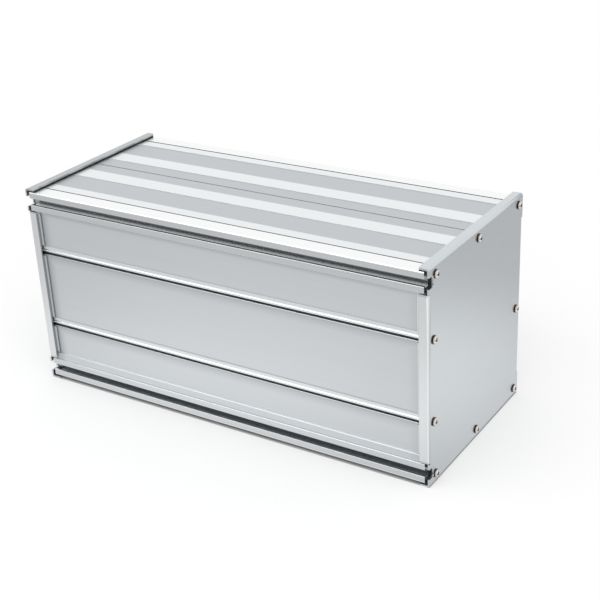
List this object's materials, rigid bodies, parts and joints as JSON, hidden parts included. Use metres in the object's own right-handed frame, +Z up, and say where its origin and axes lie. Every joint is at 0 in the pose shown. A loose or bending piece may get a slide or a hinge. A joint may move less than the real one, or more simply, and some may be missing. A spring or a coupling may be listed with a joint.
{
  "type": "aluminium battery box",
  "caption": "Long closed aluminium box for battery cells: extruded planks slide into slotted corner rails, and screws clamp folded sheet end caps over rubber gaskets.",
  "frame": {"origin": "centre of the box at the surface it stands on, under the bottom flanges", "axes": "+X along the box to the right end cap, +Y from the front with three planks to the back, +Z up"},
  "size_m": [0.3846, 0.165, 0.181],
  "materials": {
    "cap_sheet": "brushed satin sheet",
    "gasket_rubber": "matt",
    "rail_anodised": "bright anodised",
    "plank_anodised": "satin anodised",
    "screw_nickel": "bright nickel plate"
  },
  "bodies": {
    "root": {"right_end_cap": "cap_sheet", "left_end_cap": "cap_sheet", "right_end_gasket": "gasket_rubber", "left_end_gasket": "gasket_rubber", "top_front_rail": "rail_anodised", "bottom_front_rail": "rail_anodised", "top_rear_rail": "rail_anodised", "bottom_rear_rail": "rail_anodised", "top_front_plank": "plank_anodised", "top_rear_plank": "plank_anodised", "bottom_front_plank": "plank_anodised", "bottom_rear_plank": "plank_anodised", "front_upper_plank": "plank_anodised", "front_middle_plank": "plank_anodised", "front_lower_plank": "plank_anodised", "rear_upper_plank": "plank_anodised", "rear_lower_plank": "plank_anodised", "right_end_screws": "screw_nickel", "left_end_screws": "screw_nickel"}
  },
  "joints": []
}
